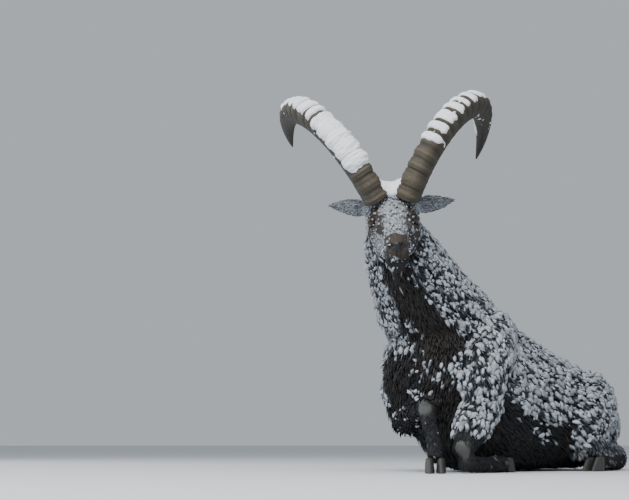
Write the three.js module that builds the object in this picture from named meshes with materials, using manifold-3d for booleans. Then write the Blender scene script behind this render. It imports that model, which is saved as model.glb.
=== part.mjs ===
// Alpine ibex, adult male in winter coat, lying down with its head raised.
// Millimetres, +Z up, floor at Z = 0. The animal faces -Y and its left side is +X.
// Every outline runs out to the tips of the coat.
import * as THREE from 'three';
import { mergeVertices } from 'three/addons/utils/BufferGeometryUtils.js';
import Module from 'manifold-3d';

const wasm = await Module();
wasm.setup();

// Driving dimensions
const partGap = 0.3; // clearance between neighbouring parts
const withersHeight = 532;
const backHeight = 405;
const croupHeight = 326;
const chestHalfWidth = 205;
const bellyHalfWidth = 226;
const eyeSpacing = 144; // between the outer faces of the two eyes
const eyeRadius = 16;
const muzzleLength = 195; // from the line of the eyes to the nose tip
const hornHalfWidth = 34;
const hornHalfDepth = 42.5;
const hornKnobs = 19;
const knobHeight = 7;
const hornLean = 5; // degrees back from square to the face
const hornBase = [-42, 53, 72]; // behind the eyes, out to the side, above them
const hornSunk = 24; // depth of the horn's start inside the skull
const curlGrowth = 1.15; // above 1 the horn bends more towards its tip
const knobbedShare = 0.8; // share of the horn's length that carries knobs
const earLength = 112;
const beardLength = 60;
const kneeRadius = 37;
const cannonRadius = 25;
const hoofLength = 88;
const hoofHeight = 44;
const toeHalfWidth = 15;
const toeLean = 0.46; // share of the toe's length that its sloping front takes up at the top
const toeNarrowing = 0.2;
const fetlockClearance = 40; // a fetlock higher than this stands off the floor

const headYaw = 44; // degrees turned to the animal's left of straight ahead
const headPitch = 30; // degrees that the line from eye to nose drops
const headRoll = 4; // degrees tilted, right eye lower
const betweenEyes = new THREE.Vector3(64, -394, 704);

// Coat and body colours
const coatBrown = 0x4a3c33;
const darkBrown = 0x2e2723;
const paleSnow = 0xcfd3d8;
const hornOlive = 0x6f6650;
const hoofSlate = 0x2b2a2a;
const eyeAmber = 0x6d5326;

const up = new THREE.Vector3(0, 0, 1);
const forward = new THREE.Vector3(0, -1, 0);

// Smooth value of a list at 0..1, a Catmull-Rom curve through its entries
function along(list, t) {
  const place = Math.min(Math.max(t, 0), 1) * (list.length - 1);
  const i = Math.min(Math.floor(place), list.length - 2);
  const f = place - i;
  const b = list[i];
  const c = list[i + 1];
  const a = i > 0 ? list[i - 1] : 2 * b - c;
  const d = i + 2 < list.length ? list[i + 2] : 2 * c - b;
  return 0.5 * (2 * b + (c - a) * f + (2 * a - 5 * b + 4 * c - d) * f * f
    + (3 * b - a - 3 * c + d) * f * f * f);
}

// Six times the volume that a closed mesh holds, negative where its faces point in
function signedVolume(positions, index) {
  const corner = (i) => new THREE.Vector3().fromArray(positions, 3 * i);
  let sum = 0;
  for (let i = 0; i < index.length; i += 3) {
    sum += corner(index[i]).dot(corner(index[i + 1]).cross(corner(index[i + 2])));
  }
  return sum;
}

// Closed solid through rings of points, each end closed to one point
function skinRings(rings, startPoint, endPoint) {
  const sides = rings[0].length;
  const positions = [startPoint, ...rings.flat(), endPoint].flatMap((p) => [p.x, p.y, p.z]);
  const last = rings.length * sides + 1;
  const index = [];
  for (let s = 0; s < sides; s += 1) {
    const n = (s + 1) % sides;
    index.push(0, 1 + n, 1 + s);
    for (let r = 0; r < rings.length - 1; r += 1) {
      const a = 1 + r * sides;
      const b = a + sides;
      index.push(a + s, a + n, b + n, a + s, b + n, b + s);
    }
    const e = 1 + (rings.length - 1) * sides;
    index.push(last, e + s, e + n);
  }
  if (signedVolume(positions, index) < 0) index.reverse();
  const geometry = new THREE.BufferGeometry();
  geometry.setAttribute('position', new THREE.Float32BufferAttribute(positions, 3));
  geometry.setIndex(index);
  return geometry;
}

// Ring of points about a centre: wide across, above and below along the ring's own up
function ring(centre, across, lift, wide, above, below, sides, swell = () => 0) {
  const points = [];
  for (let s = 0; s < sides; s += 1) {
    const angle = (2 * Math.PI * (s + 0.5)) / sides;
    const height = Math.sin(angle) > 0 ? above : below;
    const extra = swell(angle);
    points.push(centre.clone()
      .addScaledVector(across, Math.cos(angle) * (wide + extra))
      .addScaledVector(lift, Math.sin(angle) * (height + extra)));
  }
  return points;
}

// Limb-like solid. Each station is [x, y, z, wide, above, below]; hint points to the ring's up.
function limb(stations, { sides = 12, rings = 8, hint = up, cap = 0.45 }) {
  return (grow) => {
    const field = (k, t) => along(stations.map((s) => s[k]), t);
    const centre = (t) => new THREE.Vector3(field(0, t), field(1, t), field(2, t));
    const rows = [];
    const ends = [];
    for (let r = 0; r < rings; r += 1) {
      const t = r / (rings - 1);
      const tangent = centre(Math.min(t + 0.02, 1)).sub(centre(Math.max(t - 0.02, 0))).normalize();
      const across = new THREE.Vector3().crossVectors(tangent, hint).normalize();
      const lift = new THREE.Vector3().crossVectors(across, tangent).normalize();
      rows.push(ring(centre(t), across, lift, field(3, t) + grow, field(4, t) + grow,
        field(5, t) + grow, sides));
      if (r === 0) ends.push(centre(t).addScaledVector(tangent, -cap * field(3, t) - grow));
      if (r === rings - 1) ends.push(centre(t).addScaledVector(tangent, cap * field(3, t) + grow));
    }
    return skinRings(rows, ends[0], ends[1]);
  };
}

// The head's own directions: nose along, left ear across, brow up
const yaw = THREE.MathUtils.degToRad(headYaw);
const pitch = THREE.MathUtils.degToRad(headPitch);
const roll = THREE.MathUtils.degToRad(headRoll);
const facing = new THREE.Vector3(Math.sin(yaw), -Math.cos(yaw), 0);
const levelLeft = new THREE.Vector3(Math.cos(yaw), Math.sin(yaw), 0);
const nose = facing.clone().multiplyScalar(Math.cos(pitch)).addScaledVector(up, -Math.sin(pitch));
const levelBrow = facing.clone().multiplyScalar(Math.sin(pitch)).addScaledVector(up, Math.cos(pitch));
const left = levelLeft.clone().multiplyScalar(Math.cos(roll)).addScaledVector(levelBrow, Math.sin(roll));
const brow = levelBrow.clone().multiplyScalar(Math.cos(roll)).addScaledVector(levelLeft, -Math.sin(roll));

function headPoint(ahead, toLeft, above) {
  return betweenEyes.clone().addScaledVector(nose, ahead).addScaledVector(left, toLeft)
    .addScaledVector(brow, above);
}

// Head: rings square to the line from eye to nose
function head(grow) {
  const m = muzzleLength;
  const w = eyeSpacing / 2;
  // ahead, half width, top of the ring, bottom of the ring
  const stations = [
    [-128, 60, 42, -62],
    [-95, 76, 68, -92],
    [-50, 80, 80, -112],
    [-14, w + 5, 62, -116],
    [22, w - 1, 47, -112],
    [0.32 * m, 59, 38, -98],
    [0.54 * m, 46, 30, -90],
    [0.76 * m, 41, 22, -86],
    [0.92 * m, 35, 11, -80],
  ];
  const rows = [];
  const count = 10;
  for (let r = 0; r < count; r += 1) {
    const t = r / (count - 1);
    const [ahead, wide, top, bottom] = [0, 1, 2, 3].map((k) => along(stations.map((s) => s[k]), t));
    const middle = 0.45 * top + 0.55 * bottom;
    rows.push(ring(headPoint(ahead, 0, middle), left, brow, wide + grow, top - middle + grow,
      middle - bottom + grow, 14));
  }
  return skinRings(rows, headPoint(-150 - grow, 0, -15), headPoint(m + grow, 0, -22));
}

const eye = (side) => (grow) => {
  const ball = new THREE.SphereGeometry(eyeRadius + grow, 10, 7);
  const centre = headPoint(4, side * (eyeSpacing / 2 + 5 - eyeRadius), 3);
  return ball.translate(centre.x, centre.y, centre.z);
};

// Ear: a cupped leaf, standing out sideways and a little back
const ear = (side) => {
  const root = [-70, 62, 14];
  const tip = [-104, 62 + earLength, side > 0 ? 10 : 20];
  const stations = [0, 0.25, 0.5, 0.75, 1].map((t) => {
    const place = headPoint(root[0] + (tip[0] - root[0]) * t,
      side * (root[1] + (tip[1] - root[1]) * t), root[2] + (tip[2] - root[2]) * t);
    const leaf = 6 + 26 * Math.sin(Math.PI * Math.pow(0.12 + 0.86 * t, 0.8));
    const thick = 10 - 7 * t;
    return [place.x, place.y, place.z, thick, leaf, leaf];
  });
  return limb(stations, { sides: 8, rings: 7, hint: brow, cap: 0.9 });
};

// Horn: an arc that curls more and more, in a plane set by its splay, lean and twist. It stays
// thick until close to its tip. The front face swells into a row of knobs.
const horn = (side, { length, splay, twist, curl }) => {
  const lean = THREE.MathUtils.degToRad(hornLean);
  const outward = left.clone().multiplyScalar(side);
  const rise = brow.clone().multiplyScalar(Math.cos(lean)).addScaledVector(nose, -Math.sin(lean))
    .addScaledVector(outward, Math.tan(THREE.MathUtils.degToRad(splay))).normalize();
  const twistAngle = THREE.MathUtils.degToRad(twist);
  const sweep = nose.clone().multiplyScalar(-Math.cos(twistAngle))
    .addScaledVector(outward, Math.sin(twistAngle));
  sweep.addScaledVector(rise, -sweep.dot(rise)).normalize();
  const across = new THREE.Vector3().crossVectors(rise, sweep).normalize();
  const root = headPoint(hornBase[0], side * hornBase[1], hornBase[2]).addScaledVector(rise, -hornSunk);
  return (grow) => {
    const steps = hornKnobs * 3;
    const stepLength = (length + hornSunk) / steps;
    const place = root.clone();
    const tangent = rise.clone();
    const rows = [];
    for (let r = 0; r <= steps; r += 1) {
      const t = r / steps;
      const bend = THREE.MathUtils.degToRad(curl) * Math.pow(t, curlGrowth);
      tangent.copy(rise).multiplyScalar(Math.cos(bend)).addScaledVector(sweep, Math.sin(bend));
      const front = new THREE.Vector3().crossVectors(tangent, across).normalize();
      const taper = Math.pow(1 - 0.98 * Math.pow(t, 4), 0.8);
      const fade = Math.sin(0.5 * Math.PI * Math.min(1, t * 3 + 0.25));
      const knob = r % 3 === 1 && t < knobbedShare ? knobHeight * taper * fade : 0;
      const swell = (angle) => (Math.sin(angle) > 0.3 ? knob : 0);
      const wide = hornHalfWidth * taper + grow;
      const deep = hornHalfDepth * taper + grow;
      rows.push(ring(place, across, front, wide, deep, deep, 8, swell));
      if (r < steps) place.addScaledVector(tangent, stepLength);
    }
    const base = root.clone().addScaledVector(rise, -4 - grow);
    return skinRings(rows, base, place.addScaledVector(tangent, 4 + grow));
  };
};

// Trunk: upright rings from the brisket to the buttocks, given as
// [y, x, top, bottom, half width]
function trunk(grow) {
  const stations = [
    [-232, -18, 400, 240, 92],
    [-184, -20, 468, 148, 158],
    [-112, -6, 508, 62, 182],
    [-30, -2, withersHeight, -9, chestHalfWidth],
    [60, -4, 508, -16, chestHalfWidth + 3],
    [160, -5, 456, -20, 216],
    [270, 1, backHeight, -20, bellyHalfWidth],
    [385, 13, 366, -18, 222],
    [490, 26, croupHeight, -10, 194],
    [570, 38, 278, 26, 146],
    [622, 45, 226, 84, 88],
  ];
  const rows = [];
  const count = 12;
  for (let r = 0; r < count; r += 1) {
    const t = r / (count - 1);
    const [y, x, top, bottom, wide] = [0, 1, 2, 3, 4].map((k) => along(stations.map((s) => s[k]), t));
    const middle = 0.45 * top + 0.55 * bottom;
    rows.push(ring(new THREE.Vector3(x, y, middle), new THREE.Vector3(-1, 0, 0), up, wide + grow,
      top - middle + grow, middle - bottom + grow, 16));
  }
  return skinRings(rows, new THREE.Vector3(-4, -256 - grow, 320), new THREE.Vector3(47, 642 + grow, 168));
}

const neck = limb([
  [-8, -30, 385, 166, 155, 165],
  [-28, -134, 470, 168, 146, 166],
  [-24, -212, 560, 138, 124, 142],
  [-16, -278, 642, 114, 106, 112],
  [-2, -318, 706, 84, 76, 80],
], { sides: 14, rings: 7, hint: forward, cap: 0.5 });

// Beard: hangs from the chin
const beard = (() => {
  const rootPoint = headPoint(0.7 * muzzleLength, 0, -76);
  const stations = [0, 0.35, 0.7, 1].map((t) => [rootPoint.x - 6 * t, rootPoint.y + 4 * t,
    rootPoint.z - beardLength * t, 21 - 15 * t, 24 - 17 * t, 24 - 17 * t]);
  return limb(stations, { sides: 8, rings: 4, hint: facing, cap: 0.6 });
})();

const tail = limb([
  [44, 580, 272, 34, 26, 26],
  [47, 636, 242, 32, 24, 24],
  [50, 664, 190, 27, 20, 20],
  [52, 672, 138, 14, 11, 11],
], { sides: 8, rings: 5, hint: forward, cap: 0.8 });

// A leg's parts as [x, y, z, wide, above, below] along each bone, root first
const legs = {
  foreleg_left: {
    shoulder: [
      [112, 40, 440, 40, 62, 62],
      [136, -28, 372, 64, 88, 90],
      [148, -96, 306, 70, 92, 92],
      [152, -112, 246, 66, 76, 76],
      [150, -104, 196, 56, 58, 58],
    ],
    forearm: [
      [149, -100, 206, 60, 62, 62],
      [154, -134, 168, 60, 60, 60],
      [162, -182, 116, 54, 54, 52],
      [169, -222, 74, kneeRadius + 3, kneeRadius + 4, kneeRadius],
      [171, -244, 58, 31, 32, 34],
    ],
    cannon: [
      [173, -228, 36, 30, 27, 36],
      [172, -170, 27, cannonRadius, 25, 29],
      [168, -110, 26, 24, 24, 28],
      [165, -80, 27, 28, 27, 29],
    ],
    pastern: [
      [164, -78, 28, 26, 25, 30],
      [160, -48, 27, 24, 23, 29],
      [156, -22, 26, 25, 24, 27],
    ],
    hoof: { heel: [154, -26, 0], heading: [-4, 10], laid: true },
  },
  foreleg_right: {
    shoulder: [
      [-116, 50, 435, 40, 64, 64],
      [-144, -20, 360, 62, 92, 92],
      [-156, -84, 280, 68, 94, 94],
      [-154, -108, 206, 60, 74, 74],
      [-140, -112, 152, 50, 54, 54],
    ],
    forearm: [
      [-140, -112, 150, 52, 52, 52],
      [-92, -150, 158, 48, 48, 48],
      [-24, -192, 176, 41, 41, 41],
      [30, -220, 190, kneeRadius, kneeRadius, kneeRadius],
      [46, -232, 190, 31, 31, 31],
    ],
    cannon: [
      [40, -226, 182, 34, 33, 33],
      [56, -236, 146, 28, 27, 27],
      [72, -244, 108, cannonRadius, 25, 25],
      [88, -250, 70, 30, 29, 29],
    ],
    pastern: [
      [88, -250, 70, 28, 28, 28],
      [98, -262, 50, 25, 25, 25],
      [106, -272, 36, 27, 27, 27],
    ],
    hoof: { heel: [92, -256, 0], heading: [6, -7], laid: false },
  },
  hindleg_left: {
    thigh: [
      [92, 550, 216, 64, 80, 92],
      [128, 482, 218, 84, 104, 118],
      [166, 398, 180, 88, 118, 118],
      [196, 318, 134, 68, 92, 88],
      [206, 264, 104, 44, 52, 52],
    ],
    shank: [
      [204, 286, 84, 50, 54, 56],
      [202, 370, 74, 48, 50, 52],
      [192, 460, 66, 40, 40, 42],
      [182, 540, 56, 32, 32, 40],
    ],
    cannon: [
      [182, 556, 44, 30, 34, 46],
      [204, 500, 30, 27, 28, 33],
      [222, 440, 27, 24, 24, 29],
      [234, 396, 27, 27, 27, 29],
    ],
    pastern: [
      [236, 392, 27, 26, 26, 29],
      [240, 362, 27, 24, 24, 29],
      [242, 336, 26, 25, 25, 28],
    ],
    hoof: { heel: [242, 342, 0], heading: [1, -12], laid: true },
  },
};

// The right hind leg mirrors the left about the middle of the hips
const hipMiddle = 12;
const mirrored = (stations) => stations.map(([x, ...rest]) => [2 * hipMiddle - x, ...rest]);
const leftHind = legs.hindleg_left;
legs.hindleg_right = {
  thigh: mirrored(leftHind.thigh),
  shank: mirrored(leftHind.shank),
  cannon: mirrored(leftHind.cannon),
  pastern: mirrored(leftHind.pastern),
  hoof: {
    heel: [2 * hipMiddle - leftHind.hoof.heel[0], ...leftHind.hoof.heel.slice(1)],
    heading: [-leftHind.hoof.heading[0], leftHind.hoof.heading[1]],
    laid: true,
  },
};

// One toe of a cloven hoof: a flat sole whose outline is round at the toe, with walls that lean
// back to a smaller band at the top
const toe = ({ heel, heading, laid }, side) => (grow) => {
  const ahead = new THREE.Vector3(heading[0], heading[1], 0).normalize();
  const sideways = new THREE.Vector3().crossVectors(up, ahead);
  const long = laid ? 0.86 * hoofLength : hoofLength;
  const rows = [0, 0.5, 1].map((t) => {
    const points = [];
    for (let s = 0; s < 12; s += 1) {
      const angle = (2 * Math.PI * s) / 12;
      const reach = (0.5 + 0.5 * Math.cos(angle)) * (long * (1 - toeLean * t)) + Math.cos(angle) * grow;
      const narrow = (1 - toeNarrowing * t) * (1 - 0.22 * Math.cos(angle));
      const across = Math.sin(angle) * (toeHalfWidth + grow) * narrow;
      points.push(new THREE.Vector3(...heel)
        .addScaledVector(ahead, reach)
        .addScaledVector(sideways, side * (toeHalfWidth + 0.8) + across)
        .addScaledVector(up, hoofHeight * t + (t * 2 - 1) * grow));
    }
    return points;
  });
  const middle = (row) => row.reduce((sum, p) => sum.add(p), new THREE.Vector3()).divideScalar(12);
  return skinRings(rows, middle(rows[0]), middle(rows[2]));
};

// Two dewclaws behind each fetlock
const dewclaw = (pastern, side) => (grow) => {
  const [fetlock, next] = pastern.map((station) => new THREE.Vector3(...station.slice(0, 3)));
  const back = fetlock.clone().sub(next).setZ(0).normalize();
  const sideways = new THREE.Vector3().crossVectors(up, back);
  const nub = new THREE.SphereGeometry(1, 6, 4).scale(9 + grow, 9 + grow, 12 + grow);
  const raised = fetlock.z > fetlockClearance;
  const place = next.setZ(Math.max(next.z, 14)).addScaledVector(back, raised ? 34 : 6)
    .addScaledVector(sideways, side * (raised ? 17 : 27));
  return nub.translate(place.x, place.y, place.z);
};

// A solid for joining and cutting, from a closed mesh
function solidOf(geometry) {
  const bare = geometry.clone();
  bare.deleteAttribute('normal');
  bare.deleteAttribute('uv');
  const merged = mergeVertices(bare, 1e-3);
  return new wasm.Manifold(new wasm.Mesh({
    numProp: 3,
    vertProperties: new Float32Array(merged.attributes.position.array),
    triVerts: new Uint32Array(merged.index.array),
  }));
}

function geometryOf(solid) {
  const mesh = solid.getMesh();
  const geometry = new THREE.BufferGeometry();
  geometry.setAttribute('position', new THREE.Float32BufferAttribute(mesh.vertProperties, 3));
  geometry.setIndex(Array.from(mesh.triVerts));
  geometry.computeVertexNormals();
  return geometry;
}

// The parts, in the order in which they keep their full shape: each is cut by those before it
const parts = [];
const add = (name, build, color, roughness = 0.85) => parts.push({ name, build, color, roughness });

// Each horn's own length along its middle and the degrees of its arc
const hornArcs = {
  left: { length: 700, splay: 23, twist: 31.5, curl: 172 },
  right: { length: 662, splay: 24, twist: 28, curl: 153 },
};
for (const [name, side] of [['left', 1], ['right', -1]]) {
  add(`eye_${name}`, eye(side), eyeAmber, 0.15);
  add(`horn_${name}`, horn(side, hornArcs[name]), hornOlive, 0.7);
  add(`ear_${name}`, ear(side), coatBrown);
}
add('head', head, coatBrown);
add('beard', beard, darkBrown);
add('neck', neck, coatBrown);

for (const [legName, leg] of Object.entries(legs)) {
  for (const side of [1, -1]) {
    const letter = side > 0 ? 'a' : 'b';
    add(`${legName}_toe_${letter}`, toe(leg.hoof, side), hoofSlate, 0.5);
    add(`${legName}_dewclaw_${letter}`, dewclaw(leg.pastern, side), hoofSlate, 0.5);
  }
  for (const partName of ['shoulder', 'thigh', 'forearm', 'shank', 'cannon', 'pastern']) {
    if (leg[partName]) {
      const big = partName === 'shoulder' || partName === 'thigh';
      const hint = big ? new THREE.Vector3(0, -0.6, 0.8) : up;
      const rings = { shoulder: 7, thigh: 6, pastern: 3 }[partName] ?? 5;
      const shape = limb(leg[partName], { sides: big ? 12 : 9, rings, hint });
      add(`${legName}_${partName}`, shape, big ? paleSnow : darkBrown);
    }
  }
}
add('tail', tail, darkBrown);
add('trunk', trunk, coatBrown);

const floorBlock = solidOf(new THREE.BoxGeometry(3000, 3000, 400).translate(0, 200, -200));
const model = new THREE.Group();
const keptClear = [];
for (const { name, build, color, roughness } of parts) {
  let solid = solidOf(build(0)).subtract(floorBlock);
  for (const other of keptClear) solid = solid.subtract(other);
  const pieces = solid.decompose().sort((a, b) => b.volume() - a.volume());
  keptClear.push(solidOf(build(partGap)));
  const material = new THREE.MeshStandardMaterial({ color, roughness, metalness: 0 });
  const mesh = new THREE.Mesh(geometryOf(pieces[0]), material);
  mesh.name = name;
  model.add(mesh);
}

export default model;
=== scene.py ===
import math

import bpy
import numpy as np
from mathutils.bvhtree import BVHTree
from mathutils.kdtree import KDTree
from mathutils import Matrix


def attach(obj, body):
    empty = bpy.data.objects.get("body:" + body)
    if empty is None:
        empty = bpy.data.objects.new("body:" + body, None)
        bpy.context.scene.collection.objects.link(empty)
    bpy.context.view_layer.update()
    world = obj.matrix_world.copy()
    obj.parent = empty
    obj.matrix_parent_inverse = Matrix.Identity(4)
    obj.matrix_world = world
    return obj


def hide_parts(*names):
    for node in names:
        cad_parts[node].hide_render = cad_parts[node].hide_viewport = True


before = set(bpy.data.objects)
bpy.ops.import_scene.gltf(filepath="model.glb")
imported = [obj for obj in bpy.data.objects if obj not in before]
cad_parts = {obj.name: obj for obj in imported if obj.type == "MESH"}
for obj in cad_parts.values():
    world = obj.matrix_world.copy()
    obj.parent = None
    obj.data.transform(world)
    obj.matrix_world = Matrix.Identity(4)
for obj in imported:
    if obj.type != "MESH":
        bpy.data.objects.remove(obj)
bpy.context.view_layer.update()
rng = np.random.default_rng(41)
print("frame loaded")


# Small vector helpers on whole arrays
def unit(v):
    return v / np.maximum(np.linalg.norm(v, axis=-1, keepdims=True), 1e-9)


# 0 at low, 1 at high and t * t * (3 - 2 * t) between; low may be above high
def smoothStep(low, high, x):
    t = np.clip((x - low) / (high - low), 0, 1)
    return t * t * (3 - 2 * t)


# Rows of a moved towards b by their shares
def mixRows(a, b, share):
    return a + (b - a) * share[..., None]


latticeSize = 32
lattice = rng.random((latticeSize,) * 3)


# Value noise 0..1: random numbers on a cubic lattice, blended smoothly between its corners
def valueNoise(points, size, shift=0.0):
    p = points / size + shift
    cell = np.floor(p).astype(int)
    f = p - cell
    f = f * f * (3 - 2 * f)
    total = 0
    for step in np.ndindex(2, 2, 2):
        x, y, z = ((cell[..., k] + step[k]) % latticeSize for k in range(3))
        weight = np.where(step, f, 1 - f)
        total = total + lattice[x, y, z] * (weight[..., 0] * weight[..., 1] * weight[..., 2])
    return total


# Makes a mesh object from vertex rows and faces that all have the same number of corners
def makeMesh(name, vertices, faces, smooth=True):
    mesh = bpy.data.meshes.new(name)
    sides = faces.shape[1]
    mesh.vertices.add(len(vertices))
    mesh.vertices.foreach_set("co", np.ascontiguousarray(vertices, dtype=np.float32).ravel())
    mesh.loops.add(faces.size)
    mesh.loops.foreach_set("vertex_index", np.ascontiguousarray(faces, dtype=np.int32).ravel())
    mesh.polygons.add(len(faces))
    mesh.polygons.foreach_set("loop_start", np.arange(0, faces.size, sides, dtype=np.int32))
    mesh.update(calc_edges=True)
    mesh.polygons.foreach_set("use_smooth", np.full(len(faces), smooth))
    piece = bpy.data.objects.new(name, mesh)
    bpy.context.scene.collection.objects.link(piece)
    return piece


# Faces of a grid of rows and columns; a closed grid joins its last column to its first
def gridFaces(rows, columns):
    r, c = np.meshgrid(np.arange(rows - 1), np.arange(columns), indexing="ij")
    n = (c + 1) % columns
    return np.stack([r * columns + c, r * columns + n, (r + 1) * columns + n, (r + 1) * columns + c],
                    -1).reshape(-1, 4)


# Closed tube: a grid of rings, each end drawn together to one point in tiny last rings
def tubeMesh(name, rings, flip=False, endShare=0.02):
    first = rings[0].mean(0)
    last = rings[-1].mean(0)
    closed = np.concatenate([(first + (rings[0] - first) * endShare)[None], rings,
                             (last + (rings[-1] - last) * endShare)[None]])
    rows, columns = closed.shape[:2]
    faces = gridFaces(rows, columns)
    faces = faces[:, ::-1] if flip else faces
    piece = makeMesh(name, closed.reshape(-1, 3), faces)
    mesh = piece.data
    ends = (np.arange(columns), (rows - 1) * columns + np.arange(columns))
    fans = [ring if turn else ring[::-1] for ring, turn in zip(ends, (flip, not flip))]
    mesh.loops.add(2 * columns)
    mesh.polygons.add(2)
    quads = len(faces)
    mesh.loops.foreach_set("vertex_index", np.concatenate([faces.ravel(), *fans]).astype(np.int32))
    starts = np.concatenate([np.arange(quads) * 4, [quads * 4, quads * 4 + columns]]).astype(np.int32)
    mesh.polygons.foreach_set("loop_start", starts)
    mesh.update(calc_edges=True)
    mesh.polygons.foreach_set("use_smooth", np.full(quads + 2, True))
    return piece


# Puts one number or colour for each vertex on a mesh
def setAttribute(piece, name, values):
    if values.ndim == 1:
        layer = piece.data.attributes.new(name, "FLOAT", "POINT")
        layer.data.foreach_set("value", values.astype(np.float32))
    else:
        layer = piece.data.attributes.new(name, "FLOAT_COLOR", "POINT")
        rgba = np.concatenate([values, np.ones((len(values), 1))], 1)
        layer.data.foreach_set("color", rgba.astype(np.float32).ravel())


# A node socket that adds Math nodes for the operators used on it
class Socket:
    def __init__(self, finish, link):
        self.finish, self.link = finish, link

    def math(self, operation, first, second):
        return self.finish.node("ShaderNodeMath", {"operation": operation}, {0: first, 1: second})

    def __add__(self, other):
        return self.math("ADD", self, other)

    def __mul__(self, other):
        return self.math("MULTIPLY", self, other)

    def __sub__(self, other):
        return self.math("SUBTRACT", self, other)

    def __rsub__(self, other):
        return self.math("SUBTRACT", other, self)

    __radd__ = __add__
    __rmul__ = __mul__


# One material: its shader and the method that adds any other node
class Finish:
    def __init__(self, name, **constants):
        self.material = bpy.data.materials.new(name)
        self.material.use_nodes = True
        self.nodes = self.material.node_tree.nodes
        self.shader = self.nodes["Principled BSDF"]
        for key, value in constants.items():
            self.shader.inputs[key.replace("_", " ")].default_value = value

    def node(self, kind, settings=None, inputs=None, output=0):
        node = self.nodes.new(kind)
        for key, value in (settings or {}).items():
            if key == "stops":
                for extraStop in value[2:]:
                    node.color_ramp.elements.new(extraStop[0])
                for element, (place, colour) in zip(node.color_ramp.elements, value):
                    element.position = place
                    element.color = colour
            else:
                setattr(node, key, value)
        for key, value in (inputs or {}).items():
            if isinstance(value, Socket):
                self.material.node_tree.links.new(value.link, node.inputs[key])
            else:
                node.inputs[key].default_value = value
        return Socket(self, node.outputs[output])

    def put(self, socketName, value):
        self.material.node_tree.links.new(value.link, self.shader.inputs[socketName])

    def place(self):
        return self.node("ShaderNodeTexCoord", output="Object")

    def noise(self, scale, detail=3.0, roughness=0.6):
        return self.node("ShaderNodeTexNoise", None,
                         {"Vector": self.place(), "Scale": scale, "Detail": detail, "Roughness": roughness})

    def read(self, name, output="Fac"):
        return self.node("ShaderNodeAttribute", {"attribute_name": name}, output=output)

    def mix(self, share, a, b):
        return self.node("ShaderNodeMix", {"data_type": "RGBA"}, {0: share, 6: a, 7: b}, output=2)

    def bump(self, height, strength, distance):
        self.put("Normal", self.node("ShaderNodeBump", None,
                                     {"Height": height, "Strength": strength, "Distance": distance}))


# Camera: low over the floor, looking up at the head as the photo does
cameraSetup = {"place": (2.649, -3.391, 0.08), "turn": 44.0, "lookUp": 7.8, "focalPixels": 1420.0,
               "imageWidth": 629.0, "sensor": 36.0, "sightEnd": 200.0}


def makeCamera(c):
    data = bpy.data.cameras.new("photoCamera")
    data.sensor_width = c["sensor"]
    data.lens = c["sensor"] * c["focalPixels"] / c["imageWidth"]
    data.clip_end = c["sightEnd"]
    camera = bpy.data.objects.new("photoCamera", data)
    camera.location = c["place"]
    camera.rotation_euler = (math.radians(90 + c["lookUp"]), 0, math.radians(c["turn"]))
    bpy.context.scene.collection.objects.link(camera)
    bpy.context.scene.camera = camera


makeCamera(cameraSetup)

# Floor and light
studio = {"floorSize": 160.0, "floorColour": (0.66, 0.68, 0.7, 1), "sky": (0.74, 0.79, 0.85, 1),
          "skyStrength": 0.62, "aimAt": (0.0, -0.1, 0.4),
          "keyPower": 260.0, "keySize": 3.2, "keyPlace": (1.2, -3.0, 3.6), "keyColour": (1.0, 0.98, 0.95),
          "fillPower": 60.0, "fillSize": 3.0, "fillPlace": (-3.2, -1.2, 2.0),
          "fillColour": (0.86, 0.92, 1.0)}


def makeStudio(s):
    half = s["floorSize"] / 2
    corners = np.array([(-half, -half, 0), (half, -half, 0), (half, half, 0), (-half, half, 0)], float)
    floor = makeMesh("studioFloor", corners, np.array([[0, 1, 2, 3]]), smooth=False)
    paint = Finish("floorPaint", Roughness=0.9)
    paint.shader.inputs["Base Color"].default_value = s["floorColour"]
    floor.data.materials.append(paint.material)
    world = bpy.data.worlds.new("studioSky")
    world.use_nodes = True
    background = world.node_tree.nodes["Background"]
    background.inputs["Color"].default_value = s["sky"]
    background.inputs["Strength"].default_value = s["skyStrength"]
    bpy.context.scene.world = world
    for kind in ("key", "fill"):
        lamp = bpy.data.lights.new(kind + "Light", "AREA")
        lamp.energy = s[kind + "Power"]
        lamp.size = s[kind + "Size"]
        lamp.color = s[kind + "Colour"]
        holder = bpy.data.objects.new(kind + "Light", lamp)
        place = np.array(s[kind + "Place"])
        holder.location = place
        beam = np.array(s["aimAt"]) - place
        holder.rotation_euler = (math.acos(-beam[2] / np.linalg.norm(beam)), 0,
                                 math.atan2(beam[1], beam[0]) - math.pi / 2)
        bpy.context.scene.collection.objects.link(holder)


makeStudio(studio)
print("camera and studio ready")

# The head's own directions, as in the solids: nose along, left ear across, brow up
headSetup = {"yaw": 44.0, "pitch": 30.0, "roll": 4.0, "betweenEyes": (0.064, -0.394, 0.704),
             "eyeSpacing": 0.144, "eyeRadius": 0.016}
yaw, pitch, roll = (math.radians(headSetup[k]) for k in ("yaw", "pitch", "roll"))
worldUp = np.array([0.0, 0.0, 1.0])
facing = np.array([math.sin(yaw), -math.cos(yaw), 0.0])
levelLeft = np.array([math.cos(yaw), math.sin(yaw), 0.0])
noseWay = facing * math.cos(pitch) - worldUp * math.sin(pitch)
levelBrow = facing * math.sin(pitch) + worldUp * math.cos(pitch)
leftWay = levelLeft * math.cos(roll) + levelBrow * math.sin(roll)
browWay = levelBrow * math.cos(roll) - levelLeft * math.sin(roll)
headFrame = np.stack([noseWay, leftWay, browWay])
eyesAt = np.array(headSetup["betweenEyes"])


# Point of the head from its distance ahead of the eyes, to the left and above, and back again
def headPoint(local):
    return eyesAt + np.asarray(local) @ headFrame


def toHead(points):
    return (points - eyesAt) @ headFrame.T


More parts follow.
